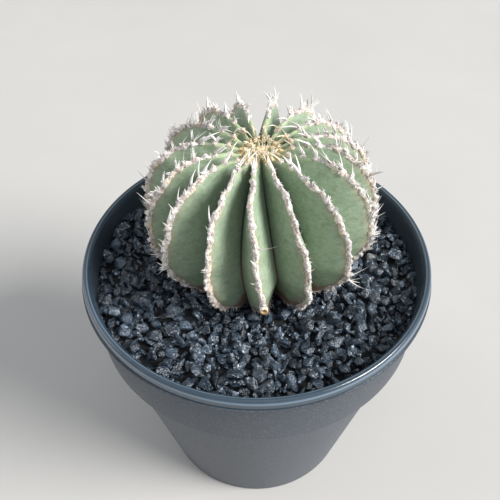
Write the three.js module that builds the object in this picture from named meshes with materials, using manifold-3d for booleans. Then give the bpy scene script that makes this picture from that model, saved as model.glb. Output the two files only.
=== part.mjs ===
// A round ribbed cactus in a tapered plastic pot, with crushed black stone over its soil.
// Millimetres, +Z up. The origin is the middle of the pot's underside and the front faces -Y.

import * as THREE from 'three';
import { mergeVertices } from 'three/addons/utils/BufferGeometryUtils.js';
import Module from 'manifold-3d';

const wasm = await Module();
wasm.setup();

// Clear space kept between neighbouring pieces
const GAP = 0.35;

// Pot, set by a rim 120 mm across
const POT = {
  segments: 48,
  rimRadius: 60,
  height: 104.5,
  lipHeight: 3.7,
  lipInnerRadius: 58,
  bandTopRadius: 58.3,
  bandFootRadius: 57.1,
  bandFoot: 79.9,
  taperTopRadius: 54.05,
  taperTop: 77.4,
  baseRadius: 38.4,
  innerTopRadius: 54.3,
  innerTop: 97,
  wall: 2,
  footRingWidth: 3.6,
  footRingHeight: 3,
  floorTop: 5.5,
  drainHoles: 6,
  drainRadius: 3.5,
  drainCircle: 22,
};

// Fill: soil up to the stone layer, then the stones
const FILL = {
  soilTop: 88,
  gravelTop: 97,
  stoneRings: [31.6, 37.2, 42.8, 48.4],
  stoneSpacing: 6.2,
  stoneRadius: 3.9,
  stoneFlatness: 0.62,
  stoneShift: 0.7,
  innerStoneScale: 0.78,
};

// Cactus. The crest is the line through the wool along the top of a rib, and the furrow is the
// bottom of the groove between two ribs. Both are superellipses in an upright plane.
const CACTUS = {
  axis: [1.3, 4.5],
  waist: 117,
  crestRadius: 37.85,
  crestRise: 32.2,
  crestRisePower: 0.69,
  crestDrop: 37.65,
  crestDropPower: 1.39,
  crownDip: 5.2,
  crownDipWidth: 10.7,
  furrowWaist: 114.5,
  furrowRadius: 26.5,
  furrowRise: 28.5,
  furrowRisePower: 1.05,
  furrowDrop: 46.5,
  furrowDropPower: 2.05,
  crownRadius: 6.3,
  crownHeight: 143,
  underside: 97.9,
  undersideCrestRadius: 25.5,
  undersideFurrowRadius: 17,
  neckRadius: 13.5,
  rootRadius: 6,
  rootBottom: 70,
};

// Each rib's place round the axis, in degrees from the front towards +X, and how far its upper end
// leans round
const RIBS = [
  { at: -69.5, lean: 1.5 },
  { at: -51.5, lean: 4.4 },
  { at: -25.3, lean: -0.1 },
  { at: -0.1, lean: -9.7 },
  { at: 22.8, lean: -9.9 },
  { at: 46.8, lean: -11.5 },
  { at: 69.8, lean: -6.2 },
  { at: 86, lean: 0 },
  { at: 104, lean: 0 },
  { at: 123, lean: 0 },
  { at: 147, lean: 0 },
  { at: 171, lean: 0 },
  { at: 195, lean: 0 },
  { at: 216, lean: 0 },
  { at: 240.5, lean: 0 },
  { at: 268.5, lean: 0 },
];

// Rib section. The ribs grow fuller towards the foot, and the furrow before one of them is partly
// filled there.
const RIB = {
  crestHalfWidth: 0.9,
  crestBelowWool: 1,
  flankDepth: 0.42,
  flankFullness: 0.78,
  footFullness: 0.22,
  filledFurrow: 3,
  filledShare: 0.55,
  stations: 15,
  topTurn: 84,
  bottomTurn: -36.3,
};

// Wool along a rib, which swells at each spine cushion
const WOOL = {
  topTurn: 82,
  bottomTurn: -35,
  cushionSpacing: 5,
  halfWidth: 1.25,
  above: 1,
  below: 0.65,
  topShare: 0.6,
  pinch: 0.66,
};

const SPINE = {
  sides: 3,
  baseRadius: 0.5,
  sunk: 0.9,
  crownLength: 4.6,
  waistLength: 4,
  footLength: 2.8,
  lift: 38,
  sideways: 26,
  crowdedRadius: 17,
};

// Tuft of young wool and spines in the middle of the crown
const TUFT = {
  radius: 5.7,
  height: 3.6,
  spines: 20,
  spineLength: 5.2,
};

const COLOURS = {
  pot: 0x34393e,
  soil: 0x3a2c22,
  gravel: 0x22242a,
  body: 0x6f8f6b,
  wool: 0xd8cbc0,
  tuft: 0xc9a565,
};

// Repeatable random numbers from 0 to 1
function seeded(seed) {
  let state = seed;
  return () => {
    state = (state + 0x6d2b79f5) | 0;
    let mixed = Math.imul(state ^ (state >>> 15), 1 | state);
    mixed = (mixed + Math.imul(mixed ^ (mixed >>> 7), 61 | mixed)) ^ mixed;
    return ((mixed ^ (mixed >>> 14)) >>> 0) / 4294967296;
  };
}

const radians = THREE.MathUtils.degToRad;
const mix = THREE.MathUtils.lerp;

// Solids from geometry and back

function solid(geometry) {
  const bare = geometry.clone();
  bare.deleteAttribute('normal');
  bare.deleteAttribute('uv');
  const merged = mergeVertices(bare, 1e-4);
  return new wasm.Manifold(new wasm.Mesh({
    numProp: 3,
    vertProperties: new Float32Array(merged.attributes.position.array),
    triVerts: new Uint32Array(merged.index.array),
  }));
}

function geometryOf(manifold) {
  const mesh = manifold.getMesh();
  const geometry = new THREE.BufferGeometry();
  geometry.setAttribute('position', new THREE.BufferAttribute(mesh.vertProperties, 3));
  geometry.setIndex(new THREE.BufferAttribute(mesh.triVerts, 1));
  return geometry;
}

function fused(solids) {
  return solids.reduce((whole, piece) => whole.add(piece));
}

// A turned solid from [radius, height] points that run anticlockwise round the section
function turned(outline, segments) {
  const points = outline.map(([radius, height]) => new THREE.Vector2(radius, height));
  points.push(points[0].clone());
  return new THREE.LatheGeometry(points, segments).rotateX(Math.PI / 2);
}

// A closed skin over rings of equal length, listed from the top down, capped at both ends
function skinned(rings) {
  const around = rings[0].length;
  const positions = rings.flat().flatMap((point) => point.toArray());
  const middle = (ring) => ring.reduce((sum, point) => sum.add(point), new THREE.Vector3())
    .divideScalar(around);
  positions.push(...middle(rings[0]).toArray(), ...middle(rings.at(-1)).toArray());
  const topMiddle = rings.length * around;
  const bottomMiddle = topMiddle + 1;
  const lastRing = (rings.length - 1) * around;
  const faces = [];
  for (let step = 0; step < around; step += 1) {
    const next = (step + 1) % around;
    faces.push(topMiddle, step, next);
    faces.push(bottomMiddle, lastRing + next, lastRing + step);
    for (let ring = 0; ring < rings.length - 1; ring += 1) {
      const upper = ring * around;
      const lower = upper + around;
      faces.push(upper + step, lower + step, lower + next);
      faces.push(upper + step, lower + next, upper + next);
    }
  }
  const geometry = new THREE.BufferGeometry();
  geometry.setAttribute('position', new THREE.Float32BufferAttribute(positions, 3));
  geometry.setIndex(faces);
  return geometry;
}

function coloured(name, geometry, color, roughness) {
  const material = new THREE.MeshStandardMaterial({ color, roughness, metalness: 0 });
  const mesh = new THREE.Mesh(geometry, material);
  mesh.name = name;
  return mesh;
}

// Pot

function innerWallRadius(height) {
  if (height > POT.taperTop) {
    const share = (height - POT.taperTop) / (POT.innerTop - POT.taperTop);
    return mix(POT.taperTopRadius - POT.wall, POT.innerTopRadius, share);
  }
  return mix(POT.baseRadius, POT.taperTopRadius, height / POT.taperTop) - POT.wall;
}

function pot() {
  const lipFoot = POT.height - POT.lipHeight;
  const ringInner = POT.baseRadius - POT.footRingWidth;
  const shell = solid(turned([
    [0, POT.footRingHeight],
    [ringInner - 1, POT.footRingHeight],
    [ringInner, 0],
    [POT.baseRadius - 0.4, 0],
    [POT.baseRadius, 0.4],
    [POT.taperTopRadius, POT.taperTop],
    [mix(POT.taperTopRadius, POT.bandFootRadius, 0.6), POT.taperTop + 0.6],
    [POT.bandFootRadius, POT.bandFoot],
    [POT.bandTopRadius, lipFoot],
    [POT.rimRadius - 0.3, lipFoot],
    [POT.rimRadius, lipFoot + 0.4],
    [POT.rimRadius, POT.height - 1],
    [POT.rimRadius - 0.35, POT.height - 0.3],
    [POT.rimRadius - 1.1, POT.height],
    [POT.lipInnerRadius, POT.height - 0.7],
    [mix(POT.lipInnerRadius, POT.innerTopRadius, 0.45), POT.height - 2.6],
    [mix(POT.lipInnerRadius, POT.innerTopRadius, 0.82), POT.height - 5],
    [POT.innerTopRadius, POT.innerTop],
    [innerWallRadius(POT.taperTop), POT.taperTop],
    [innerWallRadius(POT.floorTop), POT.floorTop],
    [0, POT.floorTop],
  ], POT.segments));
  const hole = new THREE.CylinderGeometry(POT.drainRadius, POT.drainRadius, POT.floorTop * 3, 12)
    .rotateX(Math.PI / 2);
  let drained = shell;
  for (let index = 0; index < POT.drainHoles; index += 1) {
    const angle = (index / POT.drainHoles) * 2 * Math.PI;
    const placed = hole.clone()
      .translate(POT.drainCircle * Math.sin(angle), POT.drainCircle * Math.cos(angle), 0);
    drained = drained.subtract(solid(placed));
  }
  return coloured('pot', geometryOf(drained), COLOURS.pot, 0.6);
}

// Fill

// The plain hole that the cactus stands in
function rootHole() {
  const clearance = GAP + 0.15;
  const above = CACTUS.waist;
  const hole = solid(turned([
    [0, CACTUS.rootBottom - GAP],
    [CACTUS.rootRadius + clearance, CACTUS.rootBottom - GAP],
    [CACTUS.neckRadius + clearance, FILL.soilTop],
    [CACTUS.neckRadius + clearance, above],
    [0, above],
  ], 32));
  return hole.translate([...CACTUS.axis, 0]);
}

function soil() {
  const bottom = POT.floorTop + GAP;
  const block = solid(turned([
    [0, bottom],
    [innerWallRadius(bottom) - 2 * GAP, bottom],
    [innerWallRadius(POT.taperTop) - 2 * GAP, POT.taperTop],
    [innerWallRadius(FILL.soilTop) - 2 * GAP, FILL.soilTop],
    [0, FILL.soilTop],
  ], POT.segments / 2));
  return coloured('soil', geometryOf(block.subtract(rootHole())), COLOURS.soil, 0.95);
}

// One angular stone, flattened, turned at random
function stone(random, size) {
  const blob = new THREE.OctahedronGeometry(size, 0);
  const points = blob.attributes.position;
  const spot = new THREE.Vector3();
  const scale = new THREE.Vector3(mix(0.8, 1.1, random()), mix(0.8, 1.1, random()), 1);
  const spin = new THREE.Euler(random() * Math.PI, random() * Math.PI, random() * Math.PI);
  for (let index = 0; index < points.count; index += 1) {
    spot.fromBufferAttribute(points, index).applyEuler(spin).multiply(scale);
    points.setXYZ(index, spot.x, spot.y, spot.z * FILL.stoneFlatness);
  }
  return blob;
}

function gravel() {
  const random = seeded(41);
  const bottom = FILL.soilTop + GAP;
  const slab = solid(turned([
    [0, bottom],
    [innerWallRadius(bottom) - 2 * GAP, bottom],
    [innerWallRadius(FILL.gravelTop) - 2 * GAP, FILL.gravelTop],
    [0, FILL.gravelTop],
  ], POT.segments));
  const pieces = [slab.subtract(rootHole())];
  FILL.stoneRings.forEach((ring, order) => {
    const count = Math.round((2 * Math.PI * ring) / FILL.stoneSpacing);
    const size = FILL.stoneRadius * (order === 0 ? FILL.innerStoneScale : 1);
    for (let index = 0; index < count; index += 1) {
      const angle = ((index + 0.5 * (order % 2) + 0.3 * random()) / count) * 2 * Math.PI;
      const radius = ring + FILL.stoneShift * (2 * random() - 1);
      const piece = stone(random, size * mix(0.85, 1.08, random()));
      const height = FILL.gravelTop - mix(0.3, 0.9, random());
      piece.translate(radius * Math.sin(angle), radius * Math.cos(angle), height);
      pieces.push(solid(piece));
    }
  });
  return coloured('gravel', geometryOf(fused(pieces)), COLOURS.gravel, 0.5);
}

// Cactus lines

// A rib's crest in its own plane, as radius and height. turn is the angle above the waist.
function crestAt(turn) {
  const upper = turn > 0;
  const power = upper ? CACTUS.crestRisePower : CACTUS.crestDropPower;
  const reach = upper ? CACTUS.crestRise : -CACTUS.crestDrop;
  const radius = CACTUS.crestRadius * Math.cos(turn) ** power;
  const dip = CACTUS.crownDip * Math.exp(-((radius / CACTUS.crownDipWidth) ** 2));
  const height = CACTUS.waist + reach * Math.abs(Math.sin(turn)) ** power;
  return new THREE.Vector2(radius, height - (upper ? dip : 0));
}

function furrowAt(turn) {
  const upper = turn > 0;
  const power = upper ? CACTUS.furrowRisePower : CACTUS.furrowDropPower;
  const reach = upper ? CACTUS.furrowRise : -CACTUS.furrowDrop;
  const radius = Math.hypot(CACTUS.crownRadius, CACTUS.furrowRadius * Math.cos(turn) ** power);
  return new THREE.Vector2(radius, CACTUS.furrowWaist + reach * Math.abs(Math.sin(turn)) ** power);
}

// Direction along the crest towards the crown, and the one out of the plant
function crestFrame(turn) {
  const step = 0.01;
  const along = crestAt(turn + step).sub(crestAt(turn - step)).normalize();
  return { along, out: new THREE.Vector2(along.y, -along.x) };
}

// Angle of a rib at a height given by turn, in radians from the front towards +X
function ribAngle(index, turn) {
  const wraps = Math.floor(index / RIBS.length);
  const rib = RIBS[index - wraps * RIBS.length];
  return radians(rib.at + 360 * wraps) + radians(rib.lean) * (turn / (Math.PI / 2));
}

function onCactus(radius, angle, height) {
  return new THREE.Vector3(
    CACTUS.axis[0] + radius * Math.sin(angle),
    CACTUS.axis[1] - radius * Math.cos(angle),
    height,
  );
}

// Cactus body

// 0 from the waist up, growing to 1 at the foot
function footShare(turn) {
  return Math.max(0, turn / radians(RIB.bottomTurn)) ** 1.5;
}

// Radius of the furrow before a rib
function furrowRadius(index, turn, crest, furrow) {
  const filled = index % RIBS.length === RIB.filledFurrow ? RIB.filledShare * footShare(turn) : 0;
  return mix(furrow.x, crest.x, filled);
}

// A point on a flank, between a crest edge and a furrow that are given by angle
function flankPoint(turn, crest, furrow, edgeAngle, furrowAngle, bottomRadius) {
  const radius = mix(crest.x, bottomRadius, RIB.flankDepth);
  const foot = footShare(turn);
  const fullness = mix(RIB.flankFullness, RIB.footFullness, foot);
  const share = RIB.flankDepth ** fullness * (bottomRadius / radius) ** (1 - foot);
  const height = mix(crest.y, furrow.y, RIB.flankDepth);
  return onCactus(radius, mix(edgeAngle, furrowAngle, share), height);
}

// One ring round the body: for every rib its furrow, flank, two crest edges and other flank
function ribbedRing(turn, crest, furrow) {
  const ring = [];
  RIBS.forEach((rib, index) => {
    const middle = ribAngle(index, turn);
    const before = (ribAngle(index - 1, turn) + middle) / 2;
    const after = (ribAngle(index + 1, turn) + middle) / 2;
    const edge = Math.min(RIB.crestHalfWidth / crest.x, (after - before) * 0.2);
    const beforeRadius = furrowRadius(index, turn, crest, furrow);
    const afterRadius = furrowRadius(index + 1, turn, crest, furrow);
    ring.push(onCactus(beforeRadius, before, furrow.y));
    ring.push(flankPoint(turn, crest, furrow, middle - edge, before, beforeRadius));
    ring.push(onCactus(crest.x, middle - edge, crest.y));
    ring.push(onCactus(crest.x, middle + edge, crest.y));
    ring.push(flankPoint(turn, crest, furrow, middle + edge, after, afterRadius));
  });
  return ring;
}

function plainRing(radius, height, turn) {
  const spot = new THREE.Vector2(radius, height);
  return ribbedRing(turn, spot, spot);
}

function cactusBody() {
  const top = radians(RIB.topTurn);
  const bottom = radians(RIB.bottomTurn);
  const rings = [plainRing(CACTUS.crownRadius, CACTUS.crownHeight, top)];
  for (let station = 0; station < RIB.stations; station += 1) {
    const turn = mix(top, bottom, station / (RIB.stations - 1));
    const { out } = crestFrame(turn);
    const crest = crestAt(turn).addScaledVector(out, -RIB.crestBelowWool);
    rings.push(ribbedRing(turn, crest, furrowAt(turn)));
  }
  const underCrest = new THREE.Vector2(CACTUS.undersideCrestRadius, CACTUS.underside);
  const underFurrow = new THREE.Vector2(CACTUS.undersideFurrowRadius, CACTUS.underside);
  rings.push(ribbedRing(bottom, underCrest, underFurrow));
  rings.push(plainRing(CACTUS.neckRadius, CACTUS.underside - 0.2, bottom));
  rings.push(plainRing(CACTUS.neckRadius, FILL.soilTop, bottom));
  rings.push(plainRing(CACTUS.rootRadius, CACTUS.rootBottom, bottom));
  return coloured('cactus_body', skinned(rings), COLOURS.body, 0.6);
}

// Wool and spines

// Turns at equal steps of length down the crest, from the crown to the foot
function evenTurns(spacing) {
  const samples = 400;
  const turns = [radians(WOOL.topTurn)];
  let last = crestAt(turns[0]);
  let travelled = 0;
  for (let index = 1; index <= samples; index += 1) {
    const turn = mix(radians(WOOL.topTurn), radians(WOOL.bottomTurn), index / samples);
    const spot = crestAt(turn);
    travelled += spot.distanceTo(last);
    last = spot;
    if (travelled >= spacing) {
      turns.push(turn);
      travelled -= spacing;
    }
  }
  return turns;
}

// A thin cone from its root along a direction
function needle(root, direction, length, radius) {
  const cone = new THREE.ConeGeometry(radius, length, SPINE.sides);
  cone.translate(0, length / 2, 0);
  cone.applyQuaternion(
    new THREE.Quaternion().setFromUnitVectors(new THREE.Vector3(0, 1, 0), direction),
  );
  return cone.translate(root.x, root.y, root.z);
}

// The three directions at a place on a rib: out of the plant, towards the crown and sideways
function placeFrame(index, turn) {
  const angle = ribAngle(index, turn);
  const { along, out } = crestFrame(turn);
  const lift = (flat) => new THREE.Vector3(
    flat.x * Math.sin(angle),
    -flat.x * Math.cos(angle),
    flat.y,
  );
  const crest = crestAt(turn);
  return {
    spot: onCactus(crest.x, angle, crest.y),
    radius: crest.x,
    out: lift(out),
    crownward: lift(along),
    sideways: new THREE.Vector3(Math.cos(angle), Math.sin(angle), 0),
  };
}

function woolRing(frame, swell) {
  const room = Math.min(1, (frame.radius * Math.PI) / RIBS.length / (WOOL.halfWidth + 2 * GAP));
  const across = WOOL.halfWidth * swell * room;
  const corner = (side, rise) => frame.spot.clone()
    .addScaledVector(frame.sideways, side)
    .addScaledVector(frame.out, rise);
  return [
    corner(across, -WOOL.below),
    corner(-across, -WOOL.below),
    corner(-across * WOOL.topShare, WOOL.above * swell),
    corner(across * WOOL.topShare, WOOL.above * swell),
  ];
}

function spineOn(frame, down, random) {
  const length = down < 0.5
    ? mix(SPINE.crownLength, SPINE.waistLength, down * 2)
    : mix(SPINE.waistLength, SPINE.footLength, down * 2 - 1);
  const crowded = frame.radius < SPINE.crowdedRadius;
  const sideways = crowded ? 0 : radians(SPINE.sideways) * (2 * random() - 1);
  const lift = radians(SPINE.lift) * (crowded ? 0.3 : mix(0.5, 1.1, random()));
  const direction = frame.out.clone()
    .addScaledVector(frame.crownward, Math.tan(lift))
    .addScaledVector(frame.sideways, Math.tan(sideways))
    .normalize();
  const root = frame.spot.clone().addScaledVector(frame.out, WOOL.above - SPINE.sunk);
  return needle(root, direction, length * mix(0.85, 1.1, random()) + SPINE.sunk, SPINE.baseRadius);
}

function ribWool(index) {
  const random = seeded(700 + index);
  const turns = evenTurns(WOOL.cushionSpacing / 2);
  const frames = turns.map((turn) => placeFrame(index, turn));
  const isCushion = (order) => order % 2 === 1;
  const rings = frames.map((frame, order) => woolRing(frame, isCushion(order) ? 1 : WOOL.pinch));
  const pieces = [solid(skinned(rings))];
  frames.forEach((frame, order) => {
    if (isCushion(order)) {
      pieces.push(solid(spineOn(frame, order / (frames.length - 1), random)));
    }
  });
  const name = `rib_wool_${String(index + 1).padStart(2, '0')}`;
  return coloured(name, geometryOf(fused(pieces)), COLOURS.wool, 0.9);
}

function crownTuft() {
  const random = seeded(90);
  const foot = CACTUS.crownHeight + GAP;
  const dome = solid(turned([
    [0, foot],
    [TUFT.radius, foot],
    [TUFT.radius * 0.96, foot + TUFT.height * 0.4],
    [TUFT.radius * 0.6, foot + TUFT.height * 0.9],
    [0, foot + TUFT.height],
  ], 16)).translate([...CACTUS.axis, 0]);
  const pieces = [dome];
  const golden = Math.PI * (3 - Math.sqrt(5));
  for (let index = 0; index < TUFT.spines; index += 1) {
    const spread = Math.sqrt((index + 0.5) / TUFT.spines);
    const angle = index * golden;
    const root = onCactus(TUFT.radius * 0.8 * spread, angle, foot + TUFT.height * 0.35);
    const tilt = radians(22) * spread + radians(6) * (2 * random() - 1);
    const direction = new THREE.Vector3(
      Math.sin(tilt) * Math.sin(angle),
      -Math.sin(tilt) * Math.cos(angle),
      Math.cos(tilt),
    );
    const length = TUFT.spineLength * mix(0.8, 1.15, random());
    pieces.push(solid(needle(root, direction, length, SPINE.baseRadius)));
  }
  return coloured('crown_tuft', geometryOf(fused(pieces)), COLOURS.tuft, 0.9);
}

const plant = new THREE.Group();
plant.add(pot(), soil(), gravel(), cactusBody());
RIBS.forEach((rib, index) => plant.add(ribWool(index)));
plant.add(crownTuft());

export default plant;
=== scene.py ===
"""A potted round cactus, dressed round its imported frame. Blender's objects are in metres, and the
shape code works in millimetres, +Z up with the front at -Y. Angles run from the front towards +X."""

import math

import bmesh
import bpy
import numpy as np
from mathutils import Matrix, Vector


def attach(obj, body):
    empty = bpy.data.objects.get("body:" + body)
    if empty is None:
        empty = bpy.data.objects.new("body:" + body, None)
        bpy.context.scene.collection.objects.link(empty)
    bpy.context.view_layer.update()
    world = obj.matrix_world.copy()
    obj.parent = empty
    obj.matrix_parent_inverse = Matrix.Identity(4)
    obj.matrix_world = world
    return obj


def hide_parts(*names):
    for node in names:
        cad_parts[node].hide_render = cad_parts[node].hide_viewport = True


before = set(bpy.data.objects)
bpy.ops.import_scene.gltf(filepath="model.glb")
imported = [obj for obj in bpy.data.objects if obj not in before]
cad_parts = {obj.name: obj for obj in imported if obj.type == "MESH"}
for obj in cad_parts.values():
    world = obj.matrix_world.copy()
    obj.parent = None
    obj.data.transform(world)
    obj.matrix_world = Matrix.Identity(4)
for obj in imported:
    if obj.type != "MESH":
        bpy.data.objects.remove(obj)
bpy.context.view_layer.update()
MM = 0.001

# Pot
RIM_RADIUS = 60.0
POT_HEIGHT = 104.5
LIP_HEIGHT = 4.3
LIP_INNER_RADIUS = 57.5
LIP_BEVEL, LIP_BEVEL_HEIGHT = 1.0, 1.8
BEAD_HEIGHT = 0.35
BAND_TOP_RADIUS = 58.3
BAND_FOOT_RADIUS = 56.9
BAND_FOOT = 78.7
TAPER_TOP_RADIUS = 54.05
TAPER_TOP = 77.4
BASE_RADIUS = 38.4
INNER_TOP_RADIUS = 56.1
INNER_TOP = 97.0
# Depth below the top and width of the highlight painted along the lip's outer edge
LIP_HIGHLIGHT_DEPTH, LIP_HIGHLIGHT_WIDTH = 1.2, 0.32
# Heights over which the pot's paler lower colour gives way to the darker band, a painted shade under the
# lip
LIP_SHADE_FADES = 62, 98
WALL = 2.0
FOOT_RING_WIDTH = 3.6
FOOT_RING_HEIGHT = 3.0
FLOOR_TOP = 5.5
DRAIN_HOLES = 6
DRAIN_RADIUS = 3.5
DRAIN_CIRCLE = 22.0
POT_SEGMENTS, CORNER_STEPS = 192, 5

# Stones
SOIL_TOP = 88.0
BED_FLOOR = 94.0
STONE_LEVEL = 97.9
LARGE_STONES, LARGE_SIZE, LARGE_SPREAD, LARGE_TRIES = 860, 2.1, 1.2, 30
SMALL_STONES, SMALL_SIZES, SMALL_TRIES = 1000, (0.9, 1.5), 400
STONE_SHAPES = 30
BED_CELL = 0.5
HIGHEST_STONE = 101.4
UNDER_CACTUS = 97.2
CACTUS_SHADE = 27.0

# Cactus. A rise or a drop is a reach from the waist and a power.
AXIS = (1.3, 4.5)
WAIST = 117.0
CREST_RADIUS = 37.85
CREST_RISE, CREST_DROP = (32.2, 0.69), (37.65, 1.39)
CROWN_DIP, CROWN_DIP_WIDTH = 5.2, 10.7
FURROW_WAIST = 114.5
FURROW_RADIUS = 26.5
FURROW_RISE, FURROW_DROP = (28.5, 1.05), (46.5, 2.05)
LINE_POINTS, EVEN_POINTS = 1500, 800
FURROW_SMOOTHING = 260
CREST_SMOOTHING = 110
CREST_SMOOTHED_BELOW = math.radians(20), math.radians(45)
EVEN_REACH = 100
NECK_RADIUS = 13.5
FILLED_FURROW = 3
FILLED_SHARE = 0.55
FILLED_LIFT = 2.4
CREST_HALF_WIDTH = 0.62
CREST_BELOW_WOOL = 0.9
FLANK_FULLNESS = 0.78
FOOT_FULLNESS = 0.22
OPEN_FURROW = 4
OPEN_FULLNESS = 1.5, 0.45
TOP_TURN = math.radians(88.5)
BOTTOM_TURN = math.radians(-36.3)
STEM_STATIONS = 130

# Place and lean of each rib in degrees, and its share of long spines. The seven front ones come first.
RIBS = [
    (-69.5, 1.5, 1.0), (-51.5, 4.4, 0.8), (-24.7, -1.5, 0.4), (-0.1, -9.7, 0.1), (22.8, -9.9, 0.15),
    (47.1, -11.5, 0.3), (70.3, -6.8, 1.0), (86, 0, 1.0), (104, 0, 1.0), (123, 0, 1.0), (147, 0, 1.0),
    (171, 0, 1.0), (195, 0, 1.0), (216, 0, 1.0), (240.5, 0, 1.0), (268.5, 0, 1.0),
]
RIB_PLACES, RIB_LEANS = np.radians(RIBS).T[:2]
SCARRED_RIB = 3
SCAR_LENGTH, SCAR_SIDES = 65.0, 28

# Wool and spines, along a rib from the crown. Young cushions stand apart and old ones merge.
YOUNG_CUSHIONS = (2.2, 6.5, 11.6, 15.4)
OLD_SPACING = 3.0
BAND_STARTS, BAND_FULL = 12.0, 22.0
BAND_STEP = 0.25
BAND_SIDES = 20
GOLD_FADES = 3, 9
STUBS_END, PAIRS_END, FEWER_FROM, SHORTER_FROM = 5, 20, 32, 46
HAIRS_PER_CUSHION = 18
HAIRS_PER_LOCK = 6
FRINGE_STEPS, FRINGE_HAIRS = 60, 110
WOOL, SPINE = 0, 1  # the two materials of these pieces

# Single spines that stand out: rib, length from the crown, size, width, and parts of the direction
# outwards, crownwards and sideways
SINGLE_SPINES = [
    (0, 56.5, 3.4, 0.5, 1.0, -0.35, 0.1), (1, 26.5, 4.2, 0.5, 0.7, 0.7, 0.0),
    (2, 31.5, 5.4, 0.7, 0.6, 0.75, -0.3), (3, 36.5, 5.4, 0.42, 0.32, 0.0, 1.0),
    (3, 12.2, 5.6, 0.8, 0.15, 1.0, 0.06), (3, 12.4, 5.0, 0.8, 0.2, 1.0, -0.14),
    (5, 60.5, 4.4, 0.7, 0.5, 0.5, 0.9), (5, 61.5, 5.6, 0.7, 1.0, -0.2, 0.1),
    (5, 63.0, 4.2, 0.6, 0.8, 0.2, 0.45), (5, 65.5, 5.0, 0.7, 0.6, 0.3, 0.8),
    (6, 21.0, 6.6, 0.7, 0.35, 1.0, 0.04), (6, 21.4, 6.2, 0.6, 0.4, 1.0, -0.14),
    (6, 56.0, 3.6, 0.6, 0.6, -0.8, 0.2),
]


# Mesh building

UP = np.array([0, 0, 1.0])


class Patch:
    """Points in millimetres, faces with one number of corners, a material or one for each face,
    and a value per point of each named attribute."""

    def __init__(self, points, faces, material=0, smooth=True, **values):
        self.points = np.asarray(points, float).reshape(-1, 3)
        self.faces = np.asarray(faces, int)
        self.material = np.broadcast_to(material, len(self.faces))
        self.smooth = np.broadcast_to(smooth, len(self.faces))
        self.values = {key: np.broadcast_to(value, len(self.points)) for key, value in values.items()}


def linked(name, data):
    """A new object in the scene."""
    made = bpy.data.objects.new(name, data)
    bpy.context.scene.collection.objects.link(made)
    return made


def piece(name, patches, materials, nodes):
    """One mesh object made of patches, which rides on the root and stands for CAD nodes."""
    starts = np.cumsum([0] + [len(patch.points) for patch in patches])
    faces = [face for patch, start in zip(patches, starts) for face in (patch.faces + start).tolist()]
    points = np.concatenate([patch.points for patch in patches]) * MM
    mesh = bpy.data.meshes.new(name)
    mesh.from_pydata(points.tolist(), [], faces)
    material_of = np.concatenate([patch.material for patch in patches]).astype(np.int32)
    mesh.polygons.foreach_set("material_index", material_of)
    mesh.polygons.foreach_set("use_smooth", np.concatenate([patch.smooth for patch in patches]))
    for key in sorted({key for patch in patches for key in patch.values}):
        columns = [patch.values.get(key, np.zeros(len(patch.points))) for patch in patches]
        attribute = mesh.attributes.new(key, "FLOAT", "POINT")
        attribute.data.foreach_set("value", np.concatenate(columns).astype(np.float32))
    for material in materials:
        mesh.materials.append(material)
    made = linked(name, mesh)
    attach(made, "root")
    if nodes:
        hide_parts(*nodes)
    return made


def closed(rings, material=0, **values):
    """A closed skin over rings of shape (rings, around, 3), listed from the top down and each
    anticlockwise from above, with a flat fan at each end. Each value has shape (rings, around)."""
    count, around = rings.shape[:2]
    step = np.arange(around)
    after = (step + 1) % around
    upper = np.arange(count - 1)[:, None] * around
    lower = upper + around
    top = np.full(around, count * around)
    last = (count - 1) * around
    triangles = np.concatenate([
        np.stack([upper + step, lower + step, lower + after], -1).reshape(-1, 3),
        np.stack([upper + step, lower + after, upper + after], -1).reshape(-1, 3),
        np.stack([top, step, after], -1),
        np.stack([top + 1, last + after, last + step], -1),
    ])
    points = np.concatenate([rings.reshape(-1, 3), [rings[0].mean(0), rings[-1].mean(0)]])
    full = {key: np.append(value, [value[0].mean(), value[-1].mean()]) for key, value in values.items()}
    return Patch(points, triangles, material, **full)


def turned(outline, segments):
    """Rings of a turned skin from its outline's (radius, height) points."""
    angle = np.linspace(0, 2 * np.pi, segments, endpoint=False)
    radius, height = np.asarray(outline, float).T[..., None]
    return np.stack(np.broadcast_arrays(radius * np.cos(angle), radius * np.sin(angle), height), -1)


def unit(vectors):
    return vectors / np.maximum(np.linalg.norm(vectors, axis=-1, keepdims=True), 1e-9)


def smoothstep(low, high, value):
    share = np.clip((value - low) / (high - low), 0, 1)
    return share * share * (3 - 2 * share)


def ripple(points, wavelength, seed):
    """Smooth repeatable noise of about -1 to 1 at points in millimetres."""
    rng = np.random.default_rng(seed)
    waves = 8
    total = np.zeros(points.shape[:-1])
    for _ in range(waves):
        direction = unit(rng.normal(size=3)) * rng.uniform(0.6, 1.6) * 2 * np.pi / wavelength
        total += np.sin(points @ direction + rng.uniform(0, 2 * np.pi))
    return total / math.sqrt(waves)


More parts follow.
